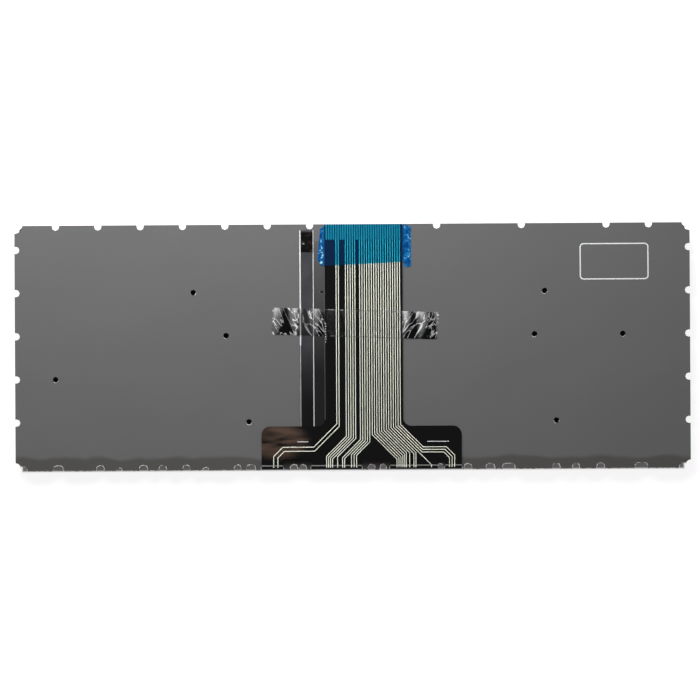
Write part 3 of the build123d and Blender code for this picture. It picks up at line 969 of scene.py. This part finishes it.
MARKS_MM = (((-23.7, -40.2), (-19.0, -40.2)), ((31.5, -40.3), (40.8, -40.3)))
MARK_WIDTH = 0.28 * MM
DOTS = 8
DOT_X = -11.4 * MM
FIRST_DOT_Y = 10.2 * MM
DOT_PITCH = 1.1 * MM
DOT_LENGTH = 0.5 * MM
mark_lines = [[(x * MM, y * MM) for x, y in mark] for mark in MARKS_MM]
for number in range(DOTS):
    dot_y = FIRST_DOT_Y - number * DOT_PITCH
    mark_lines.append([(DOT_X, dot_y), (DOT_X, dot_y - DOT_LENGTH)])
marks = printed_lines(mark_lines, MARK_WIDTH, tail_top, "printed_marks")
marks.data.materials.append(white_ink)
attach(marks, "board")


# Clear tape: a strip of polypropylene packing tape, torn off on a toothed cutter and pressed over
# ribbon and tail. It lies flat on the tail and is crumpled where it reaches the sheet.
TAPE_X = 1.2 * MM
TAPE_Y = 10.0 * MM
TAPE_LENGTH = 71.0 * MM
TAPE_WIDTH = 11.5 * MM
TAPE_TURN = math.radians(-1.9)
TAPE_CELL = 0.4 * MM
TOOTH_POINTS = 4
TOOTH_STEP = 0.45 * MM
TAPE_THICK = 0.03 * MM
TAPE_FOLD = 1.6 * MM
TAPE_CREASE = 0.6 * MM
FOLD_PITCH_MM = 7.64
FOLD_LEAN = math.radians(-30)
END_TOLERANCE = 0.1 * MM
LIFT = 0.02 * MM
TAIL_LEFT = -11.7 * MM
TAIL_RIGHT = 21.3 * MM
TAIL_MIDDLE = (TAIL_LEFT + TAIL_RIGHT) / 2
TAIL_HALF = (TAIL_RIGHT - TAIL_LEFT) / 2
STEP = 0.45 * MM

tape = flat_film(
    "clear_tape_strip",
    2 * TOOTH_STEP - TAPE_LENGTH / 2,
    TAPE_LENGTH / 2 - 2 * TOOTH_STEP,
    -TAPE_WIDTH / 2,
    TAPE_WIDTH / 2,
    back + LIFT,
    TAPE_CELL,
)


def tooth(point, side, half_width):
    """True for the points at one end of the tape that lie in a tooth, up to half_width points off
    its tip."""
    at_end = side * point.x > TAPE_LENGTH / 2 - 2 * TOOTH_STEP - END_TOLERANCE
    along_end = round((point.y + TAPE_WIDTH / 2) / TAPE_CELL) % TOOTH_POINTS
    return at_end and abs(along_end - TOOTH_POINTS // 2) <= half_width


for side in (-1, 1):
    for half_width in (0, 1):
        pick(tape, "VERT", lambda point: tooth(point, side, half_width))
        bpy.ops.transform.translate(value=(side * TOOTH_STEP, 0, 0))
        close()
tape.rotation_euler = (0, 0, TAPE_TURN)
tape.location = (TAPE_X, TAPE_Y, 0)
bpy.ops.object.transform_apply(location=True, rotation=True)


def over_tail(point):
    """True above the tail's strip."""
    return TAIL_LEFT - STEP < point.x < TAIL_RIGHT + STEP


def over_ribbon(point):
    """True above the ribbon."""
    return ribbon_low.x - STEP < point.x < ribbon_high.x + STEP


pick(tape, "VERT", over_tail)
bpy.ops.transform.translate(value=(0, 0, tail_top - back))
close()
pick(tape, "VERT", over_ribbon)
bpy.ops.transform.translate(value=(0, 0, ribbon_high.z - back))
close()
crumple(tape, TAPE_FOLD, TAPE_CREASE, lambda point: 0.0 if over_tail(point) else 1.0)
thicken(tape, TAPE_THICK)

# Polypropylene: clear where it lies flat. Its crumpled ends carry a painted reflection of the
# dark room: dark patches and bright streaks that lean away from the tail, more of them towards the
# rear edge and the teeth.
clear_film = new_material("crumpled_polypropylene")
place = add_node(clear_film, "TexCoord").outputs["Object"]
apart = add_node(clear_film, "SeparateXYZ", links={"Vector": place})
from_tail = add_node(
    clear_film, "Math", {1: TAIL_MIDDLE}, {0: apart.outputs["X"]}, operation="SUBTRACT"
)
reach = add_node(clear_film, "Math", links={0: from_tail}, operation="ABSOLUTE")
mirrored = add_node(clear_film, "CombineXYZ", links={"X": reach, "Y": apart.outputs["Y"]})
leaning = add_node(
    clear_film,
    "Mapping",
    {"Rotation": (0, 0, FOLD_LEAN), "Scale": (1.0, 4.5, 1.0)},
    {"Vector": mirrored},
    vector_type="TEXTURE",
)
creases = add_node(
    clear_film,
    "TexNoise",
    {"Scale": per_mm(2.2), "Detail": 2.0, "Distortion": 1.0},
    {"Vector": leaning},
)
bands = add_node(
    clear_film,
    "TexWave",
    {
        "Scale": per_mm(FOLD_PITCH_MM) * math.pi / 10,
        "Distortion": 2.2,
        "Detail": 2.0,
        "Detail Scale": 1.6,
        "Phase Offset": 4.08,
    },
    {"Vector": place},
)
patches = add_node(
    clear_film, "MapRange", {"To Min": 0.32, "To Max": 0.61}, {"Value": bands.outputs["Fac"]}
)
along_tape = add_node(
    clear_film,
    "Mapping",
    {"Location": (TAPE_X, TAPE_Y, 0), "Rotation": (0, 0, TAPE_TURN)},
    {"Vector": place},
    vector_type="TEXTURE",
)
own = add_node(clear_film, "SeparateXYZ", links={"Vector": along_tape})
from_middle = add_node(clear_film, "Math", links={0: own.outputs["X"]}, operation="ABSOLUTE")
at_teeth = add_node(
    clear_film,
    "MapRange",
    {"From Min": TAPE_LENGTH / 2 - 2 * MM, "From Max": TAPE_LENGTH / 2, "To Max": 0.14},
    {"Value": from_middle},
)
by_tail = add_node(
    clear_film,
    "MapRange",
    {"From Min": TAIL_HALF + MM, "From Max": TAIL_HALF + 6 * MM, "To Min": 0.04, "To Max": 0.0},
    {"Value": reach},
)
to_rear = add_node(
    clear_film,
    "Math",
    {1: 0.28 / TAPE_WIDTH},
    {0: own.outputs["Y"], 2: at_teeth},
    operation="MULTIPLY_ADD",
)
raised = add_node(clear_film, "Math", links={0: patches, 1: to_rear}, operation="ADD")
level = add_node(clear_film, "Math", links={0: raised, 1: by_tail}, operation="ADD")
greyed = add_node(clear_film, "MapRange", {"From Min": 0.44, "From Max": 0.56}, {"Value": level})
lit = add_node(clear_film, "MapRange", {"From Min": 0.64, "From Max": 0.84}, {"Value": level})
off_fold = add_node(clear_film, "Math", {1: 0.12}, {0: creases}, operation="PINGPONG")
sharp = add_node(
    clear_film,
    "MapRange",
    {"From Min": 0.008, "From Max": 0.034, "To Min": 0.95, "To Max": 0.0},
    {"Value": off_fold},
)
in_grey = add_node(clear_film, "MapRange", {"To Min": 0.5}, {"Value": greyed})
painted_streaks = add_node(clear_film, "Math", links={0: sharp, 1: in_grey}, operation="MULTIPLY")
shiny = add_node(clear_film, "Math", links={0: lit, 1: painted_streaks}, operation="MAXIMUM")
# Painted reflection: near black to grey patches, with white streaks and glints painted over them.
ground = add_node(
    clear_film, "Mix", {6: linear("#0A0A0A"), 7: linear("#6A6A6A")}, {0: greyed}, data_type="RGBA"
)
tone = add_node(
    clear_film, "Mix", {7: linear("#FAFAFA")}, {0: shiny, 6: ground.outputs[2]}, data_type="RGBA"
)
loose = add_node(
    clear_film,
    "MapRange",
    {
        "From Min": TAIL_HALF - 0.2 * MM,
        "From Max": TAIL_HALF + 0.6 * MM,
        "To Min": 0.012,
        "To Max": 0.75,
    },
    {"Value": reach},
)
from_ribbon = add_node(
    clear_film,
    "Math",
    {1: (ribbon_low.x + ribbon_high.x) / 2},
    {0: apart.outputs["X"]},
    operation="SUBTRACT",
)
off_ribbon = add_node(clear_film, "Math", links={0: from_ribbon}, operation="ABSOLUTE")
stuck = add_node(
    clear_film,
    "MapRange",
    {"From Min": 3 * MM, "From Max": 4 * MM, "To Min": 0.3},
    {"Value": off_ribbon},
)
hazy = add_node(clear_film, "Math", links={0: loose, 1: stuck}, operation="MULTIPLY")
off_line = add_node(clear_film, "Math", links={0: own.outputs["Y"]}, operation="ABSOLUTE")
cut_edge = add_node(
    clear_film,
    "MapRange",
    {"From Min": TAPE_WIDTH / 2 - 0.5 * MM, "From Max": TAPE_WIDTH / 2 - 0.2 * MM, "To Max": 0.2},
    {"Value": off_line},
)
glints = add_node(clear_film, "Math", links={0: loose, 1: shiny}, operation="MULTIPLY")
seen_film = add_node(clear_film, "Math", links={0: hazy, 1: glints}, operation="MAXIMUM")
solid = add_node(clear_film, "Math", links={0: seen_film, 1: cut_edge}, operation="MAXIMUM")
shell = add_node(
    clear_film, "BsdfPrincipled", {"Roughness": 0.15, "IOR": 1.49}, {"Base Color": tone.outputs[2]}
)
open_film = add_node(clear_film, "BsdfTransparent")
both = add_node(clear_film, "MixShader", links={0: solid, 1: open_film, 2: shell})
add_node(clear_film, "OutputMaterial", links={"Surface": both})
tape.data.materials.append(clear_film)
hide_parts("clear_tape")
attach(tape, "board")


# Contact cover: a blue transparent film that keeps the contacts clean until the board is fitted.
# It is stuck over the end of the tail, and its side flaps are crumpled onto the sheet.
cover_low, cover_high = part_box("contact_cover")
COVER_CELL = 0.35 * MM
COVER_THICK = 0.04 * MM
COVER_FOLD = 1.7 * MM
COVER_CREASE = 0.9 * MM
CUT_TOLERANCE = 0.001 * MM
SLANT_LEFT = 34.6 * MM
SLANT_RIGHT = 36.1 * MM
FRONT_CUT = (1.9 * MM, 3.2 * MM)
LEFT_TAPER = (1.2 * MM, 14 * MM)
REAR_LEFT_CUT = (3.8 * MM, 1.6 * MM)
REAR_RIGHT_CUT = (3.6 * MM, 1 * MM)
MORE_TO_LEFT = -0.002 / MM

cover = flat_film(
    "blue_cover", cover_low.x, cover_high.x, cover_low.y, cover_high.y, back + LIFT, COVER_CELL
)
pick(cover, "FACE", lambda middle, normal: middle.x < TAIL_RIGHT + STEP)
bpy.ops.mesh.bisect(
    plane_co=(TAIL_LEFT, SLANT_LEFT, back),
    plane_no=(-(SLANT_RIGHT - SLANT_LEFT) / (TAIL_RIGHT - TAIL_LEFT), 1, 0),
    clear_inner=True,
    threshold=CUT_TOLERANCE,
)
close()


def trim(film, start, end):
    """Cuts off what lies to the left of the line from start to end."""
    run = math.dist(start, end)
    pick(film, "FACE", lambda middle, normal: True)
    bpy.ops.mesh.bisect(
        plane_co=(*start, back),
        plane_no=((start[1] - end[1]) / run, (end[0] - start[0]) / run, 0),
        clear_outer=True,
        threshold=CUT_TOLERANCE,
    )
    close()


left, front = cover_low.x, cover_low.y
right, rear = cover_high.x, cover_high.y
shoulder = (left + LEFT_TAPER[0], rear - REAR_LEFT_CUT[1])
trim(cover, (left + FRONT_CUT[0], front), (left, front + FRONT_CUT[1]))
trim(cover, (left, rear - LEFT_TAPER[1]), shoulder)
trim(cover, shoulder, (left + REAR_LEFT_CUT[0], rear))
trim(cover, (right - REAR_RIGHT_CUT[0], rear), (right, rear - REAR_RIGHT_CUT[1]))
pick(cover, "VERT", over_tail)
bpy.ops.transform.translate(value=(0, 0, tail_top + INK_THICK - back))
close()
crumple(cover, COVER_FOLD, COVER_CREASE, lambda point: 0.0 if over_tail(point) else 1.0)
thicken(cover, COVER_THICK)

# Blue protective film: a clear cyan filter with a glossy face. Its crumpled flaps look fuller,
# in dark and light blue along the folds as painted shade and light, with painted white glints at
# the sharpest folds, a few more to the left.
blue_film = new_material("blue_protective_film")
place = add_node(blue_film, "TexCoord").outputs["Object"]
apart = add_node(blue_film, "SeparateXYZ", links={"Vector": place})
from_tail = add_node(blue_film, "Math", {1: TAIL_MIDDLE}, {0: apart.outputs["X"]}, operation="SUBTRACT")
reach = add_node(blue_film, "Math", links={0: from_tail}, operation="ABSOLUTE")
flap = add_node(
    blue_film, "MapRange", {"From Min": TAIL_HALF, "From Max": TAIL_HALF + MM}, {"Value": reach}
)
folds = add_node(
    blue_film, "TexNoise", {"Scale": per_mm(2.3), "Detail": 2.0, "Distortion": 1.2}, {"Vector": place}
)
to_left = add_node(
    blue_film, "Math", {1: MORE_TO_LEFT}, {0: apart.outputs["X"], 2: folds}, operation="MULTIPLY_ADD"
)
# Painted glints: white on the flaps where the fold noise peaks, a little more to the left.
sharp = add_node(blue_film, "MapRange", {"From Min": 0.57, "From Max": 0.67}, {"Value": to_left})
painted_fold_glints = add_node(blue_film, "Math", links={0: sharp, 1: flap}, operation="MULTIPLY")
# Painted shade and light: the blue goes from dark to light with the fold noise.
painted_fold_shade = add_node(blue_film, "MapRange", {"From Min": 0.35, "From Max": 0.6}, {"Value": folds})
dye_and_fold_shade = add_node(
    blue_film, "Mix", {6: linear("#083E94"), 7: linear("#248CD2")}, {0: painted_fold_shade}, data_type="RGBA"
)
hazed = add_node(
    blue_film, "Mix", {6: linear("#4C6AB4")}, {0: flap, 7: dye_and_fold_shade.outputs[2]}, data_type="RGBA"
)
tone = add_node(
    blue_film, "Mix", {7: linear("#C4F4FF")}, {0: painted_fold_glints, 6: hazed.outputs[2]}, data_type="RGBA"
)
full = add_node(blue_film, "MapRange", {"To Min": 0.055, "To Max": 0.4}, {"Value": flap})
solid = add_node(blue_film, "Math", links={0: full, 1: painted_fold_glints}, operation="MAXIMUM")
shell = add_node(
    blue_film, "BsdfPrincipled", {"Roughness": 0.12, "IOR": 1.49}, {"Base Color": tone.outputs[2]}
)
filter_film = add_node(blue_film, "BsdfTransparent", {"Color": linear("#98EFFA")})
both = add_node(blue_film, "MixShader", links={0: solid, 1: filter_film, 2: shell})
add_node(blue_film, "OutputMaterial", links={"Surface": both})
cover.data.materials.append(blue_film)
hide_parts("contact_cover")
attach(cover, "board")


# Floor, light and camera: a pale floor, one large soft lamp behind the board with a weaker one
# opposite, and the camera straight above.
FLOOR_SIZE = 6.0
FLOOR_CLOUD_MM = 1000 / 3
FADE = 0.3 * MM
floor_paint = new_material("pale_floor")
place = add_node(floor_paint, "TexCoord").outputs["Object"]
path = add_node(floor_paint, "LightPath")
seen = add_node(
    floor_paint,
    "Math",
    links={0: path.outputs["Is Camera Ray"], 1: path.outputs["Is Glossy Ray"]},
    operation="MAXIMUM",
)
seen_all = add_node(
    floor_paint, "Math", links={0: seen, 1: path.outputs["Is Transmission Ray"]}, operation="MAXIMUM"
)
apart = add_node(floor_paint, "SeparateXYZ", links={"Vector": place})
across = add_node(floor_paint, "Math", links={0: apart.outputs["X"]}, operation="ABSOLUTE")
beside = add_node(
    floor_paint, "Math", {1: board_high.x - NOTCH_REACH}, {0: across}, operation="SUBTRACT"
)
behind = add_node(
    floor_paint, "Math", {1: board_high.y - NOTCH_REACH}, {0: apart.outputs["Y"]}, operation="SUBTRACT"
)
before = add_node(floor_paint, "Math", {0: board_low.y}, {1: apart.outputs["Y"]}, operation="SUBTRACT")
off_rear = add_node(floor_paint, "Math", links={0: beside, 1: behind}, operation="MAXIMUM")
outside = add_node(floor_paint, "Math", links={0: off_rear, 1: before}, operation="MAXIMUM")
clear = add_node(
    floor_paint,
    "MapRange",
    {"From Min": -FADE, "From Max": 2 * FADE, "To Max": 0.8},
    {"Value": outside},
)
# Painted light: the floor seen through the notches glows faintly, lifting the board's shadow there.
in_notch = add_node(
    floor_paint,
    "MapRange",
    {"From Min": -NOTCH_REACH, "From Max": FADE - NOTCH_REACH, "To Max": 0.06},
    {"Value": outside},
)
pale = add_node(floor_paint, "Math", links={0: clear, 1: in_notch}, operation="ADD")
glow = add_node(floor_paint, "Math", links={0: pale, 1: seen_all}, operation="MULTIPLY")
cloud = add_node(floor_paint, "TexNoise", {"Scale": per_mm(FLOOR_CLOUD_MM)}, {"Vector": place})
tone = add_node(
    floor_paint, "Mix", {6: linear("#A39B9E"), 7: linear("#A9A1A4")}, {0: cloud}, data_type="RGBA"
)
shell = add_node(
    floor_paint,
    "BsdfPrincipled",
    {"Roughness": 0.9, "Specular IOR Level": 0.1, "Emission Color": (1, 1, 1, 1)},
    {"Base Color": tone.outputs[2], "Emission Strength": glow},
)
add_node(floor_paint, "OutputMaterial", links={"Surface": shell})
bpy.ops.object.select_all(action="DESELECT")
bpy.ops.mesh.primitive_plane_add(size=FLOOR_SIZE, location=(0, 0, 0))
floor = bpy.context.object
floor.name = "floor"
floor.data.materials.append(floor_paint)


def soft_lamp(name, place, size, power):
    """A square lamp that faces the middle of the board and leaves no glare on its films."""
    bpy.ops.object.light_add(type="AREA", location=place)
    lamp = bpy.context.object
    lamp.name = name
    lamp.data.size = size
    lamp.data.energy = power
    lamp.visible_camera = False
    lamp.visible_glossy = False
    lamp.rotation_euler = (-lamp.location).to_track_quat("-Z", "Y").to_euler()


soft_lamp("lamp_rear", place=(-0.1, 0.35, 0.21), size=0.35, power=3.9)
soft_lamp("lamp_right", place=(0.8, -0.3, 0.5), size=0.6, power=0.3)

# The room: pale walls round the table and a dark ceiling, which the glossy films mirror.
WALL_LEVEL = 0.4
CEILING_LEVEL = 0.06
room = bpy.data.worlds.new("room")
room.use_nodes = True
room.node_tree.nodes.clear()
bpy.context.scene.world = room
place = add_node(room, "TexCoord").outputs["Generated"]
apart = add_node(room, "SeparateXYZ", links={"Vector": place})
level = add_node(
    room,
    "MapRange",
    {"From Min": 0.2, "From Max": 0.9, "To Min": WALL_LEVEL, "To Max": CEILING_LEVEL},
    {"Value": apart.outputs["Z"]},
)
around = add_node(room, "Background", {"Color": linear("#F8FAFF")}, {"Strength": level})
add_node(room, "OutputWorld", links={"Surface": around})

SEEN_WIDTH = 297.5 * MM
SEEN_MIDDLE = (-1.1 * MM, -1.275 * MM)
CAMERA_HEIGHT = 1.6
CAMERA_TURN = math.radians(-0.33)
SENSOR_MM = 36
bpy.ops.object.camera_add(location=(*SEEN_MIDDLE, back + CAMERA_HEIGHT))
camera = bpy.context.object
camera.rotation_euler = (0, 0, CAMERA_TURN)
camera.data.sensor_width = SENSOR_MM
camera.data.lens = SENSOR_MM * CAMERA_HEIGHT / SEEN_WIDTH
bpy.context.scene.camera = camera
bpy.context.scene.view_settings.view_transform = "Standard"
